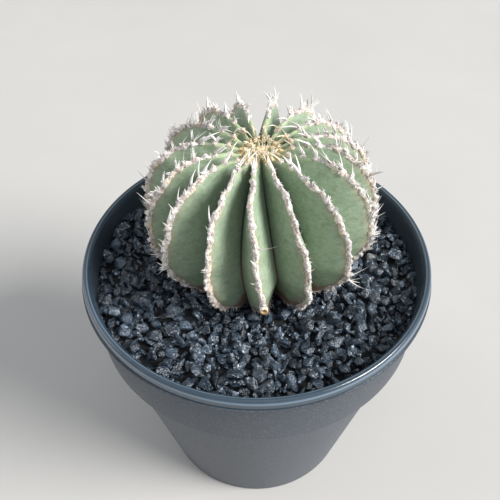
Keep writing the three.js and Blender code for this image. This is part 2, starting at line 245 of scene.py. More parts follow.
def blades(roots, directions, flats, lengths, widths, thickness, curls, steps, material, **values):
    """Closed tapered blades. Each leaves its root along its direction and bends by its curl."""
    along = np.linspace(0, 1, steps + 1)
    reach = directions[:, None] * along[:, None] + curls[:, None] * along[:, None] ** 2
    centre = roots[:, None] + reach * lengths[:, None, None]
    tangent = unit(directions[:, None] + 2 * curls[:, None] * along[:, None])
    flat = unit(flats[:, None] - tangent * (flats[:, None] * tangent).sum(-1, keepdims=True))
    normal = np.cross(tangent, flat)
    taper = (1 - along ** 1.7) * 0.94 + 0.06
    half = 0.5 * widths[:, None, None] * taper[:, None]
    deep = 0.5 * thickness * np.minimum(widths[:, None, None], 1) * taper[:, None]
    rings = np.stack([centre + flat * half, centre + normal * deep,
                      centre - flat * half, centre - normal * deep], 2)
    count = len(roots)
    points = rings.reshape(count, -1, 3)
    side = 4
    low = np.arange(steps * side)
    low_after = low - low % side + (low + 1) % side
    quads = np.stack([low, low_after, low_after + side, low + side], -1)
    tip = steps * side
    quads = np.concatenate([quads, [[3, 2, 1, 0]], [[tip, tip + 1, tip + 2, tip + 3]]])
    faces = (quads[None] + (np.arange(count) * points.shape[1])[:, None, None]).reshape(-1, 4)
    share = np.tile(np.repeat(along, side), count)
    spread = {key: np.repeat(value, points.shape[1]) for key, value in values.items()}
    return Patch(points.reshape(-1, 3), faces, material, along=share, **spread)


# Materials

class Nodes:
    """A material with a Principled shader and its base colour, and short calls for the nodes round
    it. A call's input is another node's output, the name of a value of the mesh, or a constant."""

    def __init__(self, name, **inputs):
        self.material = bpy.data.materials.new(name)
        self.material.use_nodes = True
        self.tree = self.material.node_tree
        self.shader = self.tree.nodes["Principled BSDF"]
        self.place = self.tree.nodes.new("ShaderNodeTexCoord").outputs["Object"]
        self.base = None
        self.fill(self.shader, inputs)

    def put(self, socket, value):
        if isinstance(value, str):
            named = self.tree.nodes.new("ShaderNodeAttribute")
            named.attribute_name = value
            value = named.outputs["Fac"]
        if isinstance(value, bpy.types.NodeSocket):
            self.tree.links.new(value, socket)
        else:
            socket.default_value = value

    def fill(self, node, inputs):
        for name, value in inputs.items():
            self.put(node.inputs[name.replace("_", " ")], value)

    def node(self, kind, output, **inputs):
        """The output of a new node with these inputs."""
        made = self.tree.nodes.new(kind)
        self.fill(made, inputs)
        return made.outputs[output]

    def noise(self, size, detail=3.0, roughness=0.55, stretch=None):
        """Noise with features of about size millimetres, from 0 to 1."""
        place = self.place
        if stretch:
            place = self.node("ShaderNodeMapping", "Vector", Scale=stretch, Vector=place)
        return self.node(
            "ShaderNodeTexNoise", "Fac",
            Vector=place, Scale=1 / (size * MM), Detail=detail, Roughness=roughness,
        )

    def ramp(self, factor, *stops):
        """Each stop is (position, value) or (position, (r, g, b))."""
        node = self.tree.nodes.new("ShaderNodeValToRGB")
        elements = node.color_ramp.elements
        while len(elements) < len(stops):
            elements.new(0.5)
        for element, (position, colour) in zip(elements, stops):
            element.position = position
            element.color = (*(colour if isinstance(colour, tuple) else (colour,) * 3), 1)
        self.put(node.inputs["Fac"], factor)
        return node.outputs["Color"]

    def mix(self, factor, first, second):
        node = self.tree.nodes.new("ShaderNodeMix")
        node.data_type = "RGBA"
        sockets = [socket for socket in node.inputs if socket.enabled]
        for socket, value in zip(sockets, (factor, first, second)):
            self.put(socket, (*value, 1) if isinstance(value, tuple) else value)
        return next(socket for socket in node.outputs if socket.enabled)

    def times(self, first, second):
        node = self.tree.nodes.new("ShaderNodeMath")
        node.operation = "MULTIPLY"
        self.put(node.inputs[0], first)
        self.put(node.inputs[1], second)
        return node.outputs["Value"]

    def bump(self, height, depth, strength=1.0, **under):
        """Relief depth millimetres high."""
        return self.node(
            "ShaderNodeBump", "Normal", Strength=strength, Distance=depth * MM, Height=height, **under,
        )

    def cover(self, factor, colour):
        """Lays a colour over the base."""
        self.base = self.mix(factor, self.base, colour)

    def finish(self, **inputs):
        self.fill(self.shader, {"Base Color": self.base, **inputs})
        return self.material


def pot_plastic():
    """Fine-grained moulded plastic, paler towards the bottom, so that the band under the lip stays darker
    as a painted shade.
    """
    nodes = Nodes("pot_plastic", Specular_IOR_Level=0.45)
    grain = nodes.noise(0.55, 2.0, 0.6)
    nodes.base = nodes.mix(nodes.noise(22), (0.047, 0.057, 0.072), (0.063, 0.075, 0.092))
    # Paler lower part; the band under the lip is left darker as painted shade
    nodes.cover("dusty", (0.092, 0.103, 0.12))
    speck = nodes.ramp(nodes.noise(0.7, 2.0), (0.56, 0.0), (0.72, 1.0))
    nodes.cover(nodes.times(speck, 0.5), (0.19, 0.2, 0.215))
    rough = nodes.ramp(grain, (0.3, 0.5), (0.7, 0.66))
    return nodes.finish(Roughness=rough, Normal=nodes.bump(grain, 0.14, 0.8))


def inner_wall_painted_shade():
    """The inside of the wall: the same plastic painted darker, as shade."""
    nodes = Nodes("inner_wall_painted_shade", Roughness=0.55, Specular_IOR_Level=0.3)
    nodes.base = nodes.mix(nodes.noise(5, 4.0), (0.03, 0.042, 0.059), (0.06, 0.079, 0.102))
    return nodes.finish()


def lip_plastic():
    """The smoother, bluish lip. Its paler colour along the outer rounded edge and at the inner top edge is
    a painted highlight.
    """
    nodes = Nodes("lip_plastic", Specular_IOR_Level=0.85)
    streak = nodes.noise(6, 4.0, 0.6)
    nodes.base = nodes.mix(streak, (0.023, 0.041, 0.062), (0.036, 0.061, 0.086))
    # Painted highlight along the lip's outer rounded edge and at its inner top edge
    nodes.cover("worn", (0.15, 0.21, 0.28))
    rough = nodes.ramp(streak, (0.3, 0.16), (0.75, 0.27))
    return nodes.finish(Roughness=rough, Normal=nodes.bump(nodes.noise(0.5), 0.03, 0.4))


def stone_material():
    """Crushed black stone. tint is a stone's own shade, rough tells how grainy it is, and warm and
    pale mark the odd ones."""
    nodes = Nodes("crushed_stone", Specular_IOR_Level=0.9)
    mineral = nodes.noise(1.2, 3.0, 0.65)
    plain = nodes.ramp(
        "tint", (0.0, (0.006, 0.011, 0.019)), (0.6, (0.024, 0.04, 0.061)), (1.0, (0.072, 0.108, 0.155)),
    )
    mixed = nodes.ramp(
        nodes.noise(2.2, 4.0, 0.65),
        (0.38, (0.007, 0.013, 0.022)), (0.53, (0.046, 0.071, 0.104)), (0.68, (0.19, 0.25, 0.33)),
    )
    nodes.base = nodes.mix("rough", plain, mixed)
    # Bright flecks on the grainy stones: partly pale mineral, partly a painted glint for light caught by
    # their facets
    painted_glint_and_mineral = nodes.ramp(nodes.noise(1.2, 2.0, 0.5), (0.62, 0.0), (0.68, 0.9))
    nodes.cover(nodes.times(painted_glint_and_mineral, "rough"), (0.7, 0.8, 0.93))
    nodes.cover("warm", (0.2, 0.16, 0.11))
    nodes.cover("pale", (0.5, 0.5, 0.5))
    rough = nodes.ramp(mineral, (0.3, 0.12), (0.7, 0.4))
    return nodes.finish(Roughness=rough, Normal=nodes.bump(mineral, 0.8))


def bed_material():
    # Near-black bed under the stones: a painted shade for the deep gaps between them
    nodes = Nodes("painted_gap_shade", Roughness=0.9)
    nodes.base = nodes.mix(nodes.noise(1.5, 4.0), (0.004, 0.004, 0.005), (0.02, 0.02, 0.023))
    return nodes.finish(Normal=nodes.bump(nodes.noise(1.2, 4.0), 0.5))


def soil_material():
    nodes = Nodes("potting_mix", Roughness=0.95)
    grain = nodes.noise(1.6, 5.0, 0.7)
    nodes.base = nodes.ramp(
        grain, (0.35, (0.012, 0.008, 0.005)), (0.6, (0.05, 0.033, 0.021)), (0.75, (0.14, 0.1, 0.07)),
    )
    return nodes.finish(Normal=nodes.bump(grain, 0.8))


def skin_material():
    """Waxy grey-green skin. near_crest, near_foot, low and young place other colours. It is painted darker
    deep in the furrows as shade, and along the furrow line dark as shade above and reddish below.
    """
    nodes = Nodes("cactus_skin", Specular_IOR_Level=0.35)
    fine = nodes.noise(0.8, 4.0, 0.65)
    streak = nodes.noise(1.3, 4.0, 0.7, stretch=(0.7, 0.7, 1.3))
    nodes.base = nodes.mix(nodes.noise(9, 4.0, 0.6), (0.208, 0.291, 0.185), (0.33, 0.41, 0.298))
    nodes.cover(nodes.ramp(streak, (0.45, 0.0), (0.68, 0.62)), (0.4, 0.47, 0.36))
    nodes.cover(nodes.ramp(nodes.noise(2.2, 4.0, 0.7), (0.3, 0.6), (0.52, 0.0)), (0.17, 0.235, 0.15))
    nodes.cover(nodes.times("young", 0.7), (0.41, 0.49, 0.28))
    patchy = nodes.ramp(nodes.noise(2.4), (0.3, 0.25), (0.65, 1.0))
    cork = nodes.ramp(nodes.noise(3.2), (0.35, (0.33, 0.2, 0.155)), (0.65, (0.52, 0.33, 0.2)))
    nodes.cover(nodes.times("near_crest", patchy), cork)
    # Painted shade: darker towards the furrows, where less light reaches
    nodes.cover("deep", (0.1, 0.145, 0.09))
    nodes.cover("near_foot", nodes.mix(nodes.noise(2.0), (0.13, 0.07, 0.065), (0.27, 0.16, 0.11)))
    # The furrow line: a dark painted shade in its upper part, a real reddish line lower down
    nodes.cover("in_furrow", nodes.mix("low", (0.03, 0.035, 0.025), (0.19, 0.05, 0.055)))
    rough = nodes.ramp(fine, (0.3, 0.5), (0.7, 0.66))
    normal = nodes.bump(fine, 0.12, 0.5, Normal=nodes.bump(streak, 0.25, 0.5))
    return nodes.finish(Roughness=rough, Normal=normal)


def wool_material():
    """Felted wool. tan marks its patches and golden the crown. A darker mauve is painted into the felt's
    hollows as shade, and spread at random over some hairs and patches as their own tone.
    """
    nodes = Nodes("wool_felt", Roughness=0.95, Sheen_Weight=0.25, Sheen_Roughness=0.5)
    lump = nodes.noise(1.0, 4.0, 0.65)
    nodes.base = nodes.ramp(
        lump, (0.3, (0.4, 0.35, 0.32)), (0.5, (0.66, 0.61, 0.58)), (0.64, (0.85, 0.83, 0.81)),
    )
    nodes.cover(nodes.ramp(nodes.noise(1.7, 2.0), (0.55, 0.0), (0.66, 0.6)), (0.34, 0.22, 0.21))
    nodes.cover("tan", (0.72, 0.54, 0.36))
    # Darker mauve: painted shade in the felt's hollows, a random darker tone on hairs and patches
    nodes.cover("pit", (0.24, 0.14, 0.13))
    nodes.cover("golden", (0.8, 0.6, 0.3))
    return nodes.finish(Normal=nodes.bump(lump, 0.2, 0.6))


def spine_material():
    """Wool hairs and papery spines. shade is each one's own, and along runs from root to tip."""
    nodes = Nodes("papery_spine", Roughness=0.6, Specular_IOR_Level=0.3)
    nodes.base = nodes.ramp(
        "shade", (0.0, (0.3, 0.2, 0.17)), (0.25, (0.56, 0.47, 0.43)),
        (0.6, (0.8, 0.76, 0.73)), (1.0, (0.95, 0.94, 0.93)),
    )
    root = nodes.ramp("along", (0.0, 1.0), (0.5, 0.0))
    nodes.cover(nodes.times("golden", 0.7), (0.9, 0.78, 0.48))
    nodes.cover(nodes.times("golden", root), (0.82, 0.6, 0.28))
    return nodes.finish(Normal=nodes.bump(nodes.noise(0.6, stretch=(1, 1, 0.4)), 0.05, 0.5))


def scar_material():
    nodes = Nodes("corky_scar", Roughness=0.85)
    nodes.base = nodes.ramp(
        "along", (0.0, (0.1, 0.06, 0.03)), (0.3, (0.5, 0.36, 0.18)),
        (0.55, (0.36, 0.23, 0.1)), (0.8, (0.78, 0.66, 0.48)),
    )
    return nodes.finish(Normal=nodes.bump(nodes.noise(0.5, 4.0), 0.1))


# Pot

def inner_wall_radius(height):
    if height > TAPER_TOP:
        share = (height - TAPER_TOP) / (INNER_TOP - TAPER_TOP)
        return TAPER_TOP_RADIUS - WALL + share * (INNER_TOP_RADIUS - TAPER_TOP_RADIUS + WALL)
    return BASE_RADIUS + (TAPER_TOP_RADIUS - BASE_RADIUS) * height / TAPER_TOP - WALL


def rounded(outline):
    """Rounds an outline of (radius, height, corner radius) points. A close pair of points beside
    each corner keeps the smooth shading flat between corners."""
    spots = [np.array(point[:2], float) for point in outline]
    share = np.linspace(0, 1, CORNER_STEPS)[:, None]
    made = [spots[0]]
    for index in range(1, len(outline) - 1):
        spot = spots[index]
        back = spots[index - 1] - spot
        ahead = spots[index + 1] - spot
        reach = min(outline[index][2], 0.45 * np.linalg.norm(back), 0.45 * np.linalg.norm(ahead))
        start = spot + unit(back) * reach
        end = spot + unit(ahead) * reach
        beside = min(0.15, reach * 0.2)
        curve = (1 - share) ** 2 * start + 2 * share * (1 - share) * spot + share ** 2 * end
        made += [start + unit(back) * beside, *curve, end + unit(ahead) * beside]
    return np.array(made + [spots[-1]])


def drill(target):
    """Cuts the drainage holes out of a mesh object."""
    holes = bmesh.new()
    for index in range(DRAIN_HOLES):
        angle = index / DRAIN_HOLES * 2 * math.pi
        spot = Vector((math.sin(angle), math.cos(angle), 0)) * DRAIN_CIRCLE * MM
        bmesh.ops.create_cone(
            holes, cap_ends=True, segments=32, radius1=DRAIN_RADIUS * MM, radius2=DRAIN_RADIUS * MM,
            depth=3 * FLOOR_TOP * MM, matrix=Matrix.Translation(spot),
        )
    mesh = bpy.data.meshes.new("drill")
    holes.to_mesh(mesh)
    holes.free()
    cutter = linked("drill", mesh)
    boolean = target.modifiers.new("drill", "BOOLEAN")
    boolean.operation = "DIFFERENCE"
    boolean.object = cutter
    boolean.solver = "EXACT"
    done = bpy.data.meshes.new_from_object(target.evaluated_get(bpy.context.evaluated_depsgraph_get()))
    target.modifiers.clear()
    target.data = done
    bpy.data.objects.remove(cutter)


def pot():
    lip_foot, bevel_foot = POT_HEIGHT - LIP_HEIGHT, POT_HEIGHT - LIP_BEVEL_HEIGHT
    outline = rounded([
        (0.6, FLOOR_TOP),
        (inner_wall_radius(FLOOR_TOP), FLOOR_TOP, 1.2),
        (inner_wall_radius(TAPER_TOP), TAPER_TOP, 1.0),
        (INNER_TOP_RADIUS, INNER_TOP, 2.0),
        (LIP_INNER_RADIUS - LIP_BEVEL, bevel_foot, 0.9),
        (LIP_INNER_RADIUS + 0.1, POT_HEIGHT - 0.2, 0.35),
        (RIM_RADIUS - 1.3, POT_HEIGHT, 0.9),
        (RIM_RADIUS - 0.45, POT_HEIGHT - 1.3, 1.3),
        (RIM_RADIUS - 0.5, lip_foot + BEAD_HEIGHT, 0.1),
        (RIM_RADIUS, lip_foot + BEAD_HEIGHT - 0.05, 0.1),
        (RIM_RADIUS - 0.05, lip_foot, 0.1),
        (BAND_TOP_RADIUS, lip_foot - 0.05, 0.3),
        (BAND_FOOT_RADIUS, BAND_FOOT, 0.25),
        (TAPER_TOP_RADIUS, TAPER_TOP, 1.6),
        (BASE_RADIUS, 0, 0.8),
        (BASE_RADIUS - FOOT_RING_WIDTH, 0, 0.5),
        (BASE_RADIUS - FOOT_RING_WIDTH - 1, FOOT_RING_HEIGHT, 0.5),
        (0.6, FOOT_RING_HEIGHT),
    ])
    rings = turned(outline, POT_SEGMENTS)
    below_top, from_axis = POT_HEIGHT - rings[..., 2], np.hypot(rings[..., 0], rings[..., 1])
    # Painted highlight: a paler band just below the lip's outer top corner, and a thin line at its inner
    # top edge
    outer_highlight = np.exp(-(((below_top - LIP_HIGHLIGHT_DEPTH) / LIP_HIGHLIGHT_WIDTH) ** 2)) * (from_axis > RIM_RADIUS - 1.4)
    inner_highlight = 0.6 * (below_top < 0.3) * (from_axis < LIP_INNER_RADIUS + 0.5)
    # Paler towards the bottom, leaving the band under the lip darker as painted shade
    dusty = 1 - smoothstep(*LIP_SHADE_FADES, rings[..., 2])
    shell = closed(rings, worn=np.maximum(outer_highlight, inner_highlight), dusty=dusty)
    across, back, height = shell.points[shell.faces].mean(1).T
    within = np.hypot(across, back) < LIP_INNER_RADIUS - 0.3
    on_lip = (height > lip_foot + BEAD_HEIGHT) & (~within | (height > bevel_foot))
    # The inside of the wall takes the darker copy of the plastic, a painted shade
    inside = within & (height > BAND_FOOT) & (height < bevel_foot)
    shell.material = np.where(inside, 2, on_lip)
    plastics = [pot_plastic(), lip_plastic(), inner_wall_painted_shade()]
    drill(piece("pot_shell", [shell], plastics, ["pot"]))


# Stones

def stone_shape(rng, worn):
    """One angular stone about 1 mm in radius, as points and triangles. Worn ones have cut edges. The
    triangles are sorted, because those of a hull come in another order each time."""
    shape = bmesh.new()
    for point in unit(rng.normal(size=(rng.integers(9, 14), 3))):
        shape.verts.new(point * rng.uniform(0.88, 1.08) * [1.0, 0.9, 0.8])
    hull = bmesh.ops.convex_hull(shape, input=shape.verts)
    unused = hull["geom_interior"] + hull["geom_unused"]
    unused = {part for part in unused if isinstance(part, bmesh.types.BMVert)}
    bmesh.ops.delete(shape, geom=list(unused), context="VERTS")
    bmesh.ops.dissolve_limit(shape, angle_limit=math.radians(16), verts=shape.verts, edges=shape.edges)
    if worn:
        bmesh.ops.bevel(
            shape, geom=shape.edges[:], offset=0.13, segments=1, affect="EDGES", clamp_overlap=True,
        )
    bmesh.ops.triangulate(shape, faces=shape.faces)
    shape.verts.ensure_lookup_table()
    points = np.array([vertex.co[:] for vertex in shape.verts])
    triangles = np.array(sorted([vertex.index for vertex in face.verts] for face in shape.faces))
    shape.free()
    return points, triangles


def square(place, reach):
    """The cells within reach millimetres of a cell of the bed, as two slices."""
    cells = int(reach / BED_CELL) + 1
    return tuple(slice(middle - cells, middle + cells + 1) for middle in place)


def settled_stones(rng):
    """Drops large stones, then small ones, each where the bed is lowest. Gives centres and sizes."""
    half = int(RIM_RADIUS / BED_CELL)
    level = np.full((2 * half + 1, 2 * half + 1), BED_FLOOR)
    grid = (np.arange(2 * half + 1) - half) * BED_CELL
    span = np.hypot(*np.meshgrid(grid, grid, indexing="ij"))
    wall = inner_wall_radius(STONE_LEVEL) + 0.8
    from_axis = np.hypot(grid[:, None] - AXIS[0], grid[None] - AXIS[1])
    bed = np.argwhere((span < wall - 0.8) & (from_axis > NECK_RADIUS + 1.2))
    stones = []
    for number in range(LARGE_STONES + SMALL_STONES):
        large = number < LARGE_STONES
        size = LARGE_SIZE + LARGE_SPREAD * rng.beta(1.4, 1.9) if large else rng.uniform(*SMALL_SIZES)
        places = bed[rng.integers(len(bed), size=LARGE_TRIES if large else SMALL_TRIES)]
        places = places[span[tuple(places.T)] < wall - 0.75 * size]
        place = tuple(places[np.argmin(level[tuple(places.T)])])
        spot = grid[list(place)]
        rest = np.quantile(level[square(place, size * 0.7)], 0.6 if large else 0.35)
        centre = rest + 0.35 * size
        ceiling = UNDER_CACTUS if np.hypot(*(spot - AXIS)) < CACTUS_SHADE else HIGHEST_STONE
        if centre + 0.75 * size > ceiling:
            level[place] += 0.3
            continue
        cover = 0.8 * size
        near = square(place, cover)
        apart = np.hypot(grid[near[0]][:, None] - spot[0], grid[near[1]][None] - spot[1]) / cover
        dome = centre + 0.65 * size * np.sqrt(np.clip(1 - apart ** 2, 0, 1))
        level[near] = np.where(apart < 1, np.maximum(level[near], dome), level[near])
        stones.append(([*spot, centre], size))
    return stones


def gravel():
    rng = np.random.default_rng(12)
    large = [stone_shape(rng, True) for _ in range(STONE_SHAPES)]
    small = [stone_shape(rng, False) for _ in range(STONE_SHAPES)]
    lower = SOIL_TOP + 0.4
    # The slab under the stones carries the near-black painted shade of the gaps
    slab = closed(turned([
        (0.5, BED_FLOOR + 0.6),
        (inner_wall_radius(BED_FLOOR) - 1, BED_FLOOR + 0.4),
        (inner_wall_radius(BED_FLOOR) - 0.4, BED_FLOOR),
        (inner_wall_radius(lower) - 0.4, lower),
        (0.5, lower),
    ], POT_SEGMENTS // 2), 1)
    stones = []
    for centre, size in settled_stones(rng):
        shapes = large if size >= LARGE_SIZE else small
        points, triangles = shapes[rng.integers(STONE_SHAPES)]
        squash = rng.uniform([0.85, 0.85, 0.9], [1.2, 1.15, 1.15])
        spin, lean, way = rng.uniform(0, 2 * np.pi), rng.normal(0, 0.5), rng.uniform(0, 2 * np.pi)
        leaning = Matrix.Rotation(lean, 3, Vector((math.cos(way), math.sin(way), 0)))
        turn = np.array(leaning @ Matrix.Rotation(spin, 3, "Z"))
        placed = (points * squash * size) @ turn.T + centre
        kind = rng.uniform()
        stones.append(Patch(
            placed, triangles, 0, False, tint=rng.beta(1.1, 1.8), rough=rng.beta(1.0, 1.4),
            warm=0.4 * (kind < 0.007), pale=0.35 * (kind > 0.995),
        ))
    materials = [stone_material(), bed_material()]
    piece("crushed_stone", [*stones, slab], materials, ["gravel"])


# Cactus lines

LINE_TURNS = np.linspace(TOP_TURN, BOTTOM_TURN, LINE_POINTS)


def profile(radius, waist, rise, drop):
    """Radii and heights of a line down a rib, at LINE_TURNS."""
    upper = LINE_TURNS > 0
    power = np.where(upper, rise[1], drop[1])
    reach = np.where(upper, rise[0], -drop[0]) * np.abs(np.sin(LINE_TURNS)) ** power
    return radius * np.cos(LINE_TURNS) ** power, waist + reach


def smoothed(values, reach):
    """The values along a line, each one averaged with its neighbours up to reach steps away."""
    weights = np.hanning(2 * reach + 1)
    padded = np.pad(values, reach, "reflect", reflect_type="odd")
    return np.convolve(padded, weights / weights.sum(), "valid")


def rib_lines():
    """The wool line on a rib's crest and the floor of a furrow, each as radii and heights."""
    radii, heights = profile(CREST_RADIUS, WAIST, CREST_RISE, CREST_DROP)
    dip = CROWN_DIP * np.exp(-((radii / CROWN_DIP_WIDTH) ** 2))
    crest = radii, heights - np.where(LINE_TURNS > 0, dip, 0)
    near_waist = 1 - smoothstep(*CREST_SMOOTHED_BELOW, LINE_TURNS)
    crest = [values + (smoothed(values, CREST_SMOOTHING) - values) * near_waist for values in crest]
    radii, heights = profile(FURROW_RADIUS, FURROW_WAIST, FURROW_RISE, FURROW_DROP)
    return crest, [smoothed(values, FURROW_SMOOTHING) for values in (np.hypot(radii, 1.0), heights)]


CREST_LINE, FURROW_LINE = rib_lines()
LINE_LENGTHS = np.insert(np.cumsum(np.hypot(*np.diff(CREST_LINE))), 0, 0)
RIB_LENGTH = LINE_LENGTHS[-1]


def line_at(turn, line=CREST_LINE):
    """Radius and height of a line. turn is the angle above the waist."""
    return tuple(np.interp(-turn, -LINE_TURNS, values) for values in line)


def turn_after(length):
    """The turn of a crest's point, from its length from the crown."""
    return np.interp(length, LINE_LENGTHS, LINE_TURNS)


def outward_at(turn):
    """Unit radius and height parts of the direction out of the plant at a crest."""
    step = 0.01
    ahead, behind = line_at(turn + step), line_at(turn - step)
    run, rise = ahead[0] - behind[0], ahead[1] - behind[1]
    size = np.hypot(run, rise)
    return rise / size, -run / size


def wander(index, turn):
    """How far a crest strays sideways and outwards, in millimetres."""
    length = np.interp(-turn, -LINE_TURNS, LINE_LENGTHS)
    phases = np.random.default_rng(500 + index).uniform(0, 2 * np.pi, 4)
    share = np.clip(length / 20, 0.15, 1)
    sideways = 0.32 * np.sin(length / 3.1 + phases[0]) + 0.2 * np.sin(length / 1.5 + phases[1])
    outwards = 0.2 * np.sin(length / 4.6 + phases[2]) + 0.08 * np.sin(length / 1.3 + phases[3])
    return share * sideways, share * outwards


def rib_angle(index, turn):
    wraps, rib = divmod(index, len(RIBS))
    return RIB_PLACES[rib] + 2 * np.pi * wraps + RIB_LEANS[rib] * turn / (np.pi / 2)


def on_cactus(radius, angle, height):
    across, back = AXIS[0] + radius * np.sin(angle), AXIS[1] - radius * np.cos(angle)
    return np.stack(np.broadcast_arrays(across, back, height), -1)


class Crest:
    """Places and directions along one rib's wool line, at an array of lengths from the crown."""

    def __init__(self, index, lengths):
        turn = turn_after(lengths)
        radius, height = line_at(turn)
        out_run, out_rise = outward_at(turn)
        sideways, outwards = wander(index, turn)
        angle = rib_angle(index, turn)
        across, up = np.sin(angle), -np.cos(angle)
        self.out = np.stack([out_run * across, out_run * up, out_rise], -1)
        self.crownward = np.stack([-out_rise * across, -out_rise * up, out_run], -1)
        self.sideways = np.stack([np.cos(angle), np.sin(angle), np.zeros_like(angle)], -1)
        self.spot = on_cactus(radius, angle, height)
        self.spot += self.sideways * sideways[:, None] + self.out * outwards[:, None]
        self.lengths = lengths


# Cactus body

CAP_ANGLES = np.radians([-90, -60, -30, 0, 30, 60, 90])
FLANK_STEPS = 0.5 - 0.5 * np.cos(np.linspace(0, np.pi, 19)[1:-1])
UNDERSIDE = [(0.03, 0.5), (0.08, 0.85), (0.16, 1.05), (0.6, 1.1), (1.0, 1.1), (1.06, 6.0)]


def foot_share(turn):
    """0 from the waist up, growing to 1 at the foot."""
    return np.clip(turn / BOTTOM_TURN, 0, 1) ** 1.5


def furrow_before(index, turn):
    """Radius, angle and height of the furrow before a rib. One is filled out at its foot."""
    radius, height = line_at(turn, FURROW_LINE)
    if index % len(RIBS) == FILLED_FURROW:
        radius = radius + (line_at(turn)[0] - radius) * FILLED_SHARE * foot_share(turn)
        height = height + FILLED_LIFT * foot_share(turn) ** 2
    angle = (rib_angle(index - 1, turn) + rib_angle(index, turn)) / 2
    return radius, angle, height


def foot_fullness(furrow, side):
    """How far a flank bulges at its foot. side is 0 on the left of a furrow and 1 on its right."""
    return OPEN_FULLNESS[side] if furrow == OPEN_FURROW else FOOT_FULLNESS


def flank(start, furrow, turn, fullness):
    """Points from a crest's edge to the furrow, each start and furrow a radius, angle and height,
    and their shares of the depth. fullness is the one at the foot."""
    foot = foot_share(turn)[:, None]
    depth = FLANK_STEPS ** (1 / (FLANK_FULLNESS + (fullness - FLANK_FULLNESS) * foot))
    radius, height = (
        start[part][:, None] + (furrow[part] - start[part])[:, None] * depth for part in (0, 2)
    )
    share = FLANK_STEPS * (furrow[0][:, None] / radius) ** (1 - foot)
    angle = start[1][:, None] * (1 - share) + furrow[1][:, None] * share
    return on_cactus(radius, angle, height), depth


def stem_rings():
    """Rings of the ribbed stem, with each point's distance below its crest and share of the way
    into the furrow. The furrows follow even_turn, which has no quick change at the waist."""
    lengths = np.linspace(0, RIB_LENGTH, STEM_STATIONS)
    turn = turn_after(lengths)
    close_lengths = np.linspace(0, RIB_LENGTH, EVEN_POINTS)
    even_turn = np.interp(lengths, close_lengths, smoothed(turn_after(close_lengths), EVEN_REACH))
    crest_radius, crest_height = line_at(turn)
    out_run, out_rise = outward_at(turn)
    rings, depths, ways = [], [], []
    for index in range(len(RIBS)):
        sideways, outwards = wander(index, turn)
        middle = rib_angle(index, turn) + sideways / crest_radius
        before, after = furrow_before(index, even_turn), furrow_before(index + 1, even_turn)
        half = np.minimum(CREST_HALF_WIDTH / crest_radius, 0.15 * (after[1] - before[1]))
        top = outwards - CREST_BELOW_WOOL
        drop = half * crest_radius * 0.8
        cap_out = top[:, None] - drop[:, None] * (1 - np.cos(CAP_ANGLES))
        cap = on_cactus(
            crest_radius[:, None] + out_run[:, None] * cap_out,
            middle[:, None] + half[:, None] * np.sin(CAP_ANGLES),
            crest_height[:, None] + out_rise[:, None] * cap_out,
        )
        start_radius = crest_radius + out_run * (top - drop)
        start_height = crest_height + out_rise * (top - drop)
        start = start_radius, middle - half, start_height
        left, left_depth = flank(start, before, even_turn, foot_fullness(index, 1))
        start = start_radius, middle + half, start_height
        right, right_depth = flank(start, after, even_turn, foot_fullness(index + 1, 0))
        rings.append(np.concatenate([on_cactus(*before)[:, None], left[:, ::-1], cap, right], 1))
        reach = np.hypot(start_radius - before[0], start_height - before[2])[:, None]
        flat = np.zeros((len(turn), len(CAP_ANGLES)))
        floor = np.ones((len(turn), 1))
        ways.append(np.concatenate([floor, left_depth[:, ::-1], flat, right_depth], 1))
        depths.append(reach * ways[-1])
    rings, depths, ways = (np.concatenate(parts, 1) for parts in (rings, depths, ways))
    foot = rings[-1]
    neck = on_cactus(NECK_RADIUS, np.arctan2(foot[:, 0] - AXIS[0], AXIS[1] - foot[:, 1]), foot[:, 2])
    under = [foot + (neck - foot) * share - [0, 0, drop] for share, drop in UNDERSIDE]
    rings = np.concatenate([rings, under])
    depths, ways = (np.pad(values, ((0, len(under)), (0, 0)), "edge") for values in (depths, ways))
    return rings, depths, ways


def cactus_stem():
    """The ribbed stem. Gives back its lowest ring, from furrow to furrow of each rib."""
    rings, depths, ways = stem_rings()
    lengths = np.minimum(np.arange(len(rings)) / (STEM_STATIONS - 1), 1)[:, None] * RIB_LENGTH
    blotch = ripple(rings, 7, 3)
    body = closed(
        rings,
        near_crest=0.45 * np.clip(1.15 - depths / (1.4 + 0.5 * blotch), 0, 1) * smoothstep(16, 34, lengths),
        near_foot=smoothstep(0, 1, (lengths - RIB_LENGTH + 7.5 - 1.3 * blotch) / 3.5) * 0.95,
        # The next value paints shade darker towards each furrow
        deep=smoothstep(0.35, 1.0, ways) * smoothstep(6, 20, lengths) * 0.14,
        # The furrow line, painted dark as shade above and reddish below
        in_furrow=smoothstep(0.92, 1.0, ways) * smoothstep(8, 30, lengths) * 0.92,
        low=smoothstep(34, 52, lengths + 0 * ways),
        young=(1 - smoothstep(11, 19, lengths)) * (1 - smoothstep(0.2, 2.2, depths)),
    )
    piece("cactus_stem", [body], [skin_material()], ["cactus_body"])
    return rings[STEM_STATIONS - 1].reshape(len(RIBS), -1, 3)


# Wool and spines

def wool_end(index):
    """Where a rib's wool ends, as a length from the crown."""
    return SCAR_LENGTH - 1.3 if index == SCARRED_RIB else RIB_LENGTH


def cushions_of(index):
    """Lengths from the crown of a rib's spine cushions, and their sizes."""
    rng = np.random.default_rng(40 + index)
    old = np.arange(YOUNG_CUSHIONS[-1] + OLD_SPACING, wool_end(index) - 1, OLD_SPACING)
    lengths = np.concatenate([YOUNG_CUSHIONS, old])
    return lengths + rng.uniform(-0.5, 0.5, len(lengths)), rng.uniform(0.6, 1.3, len(lengths))


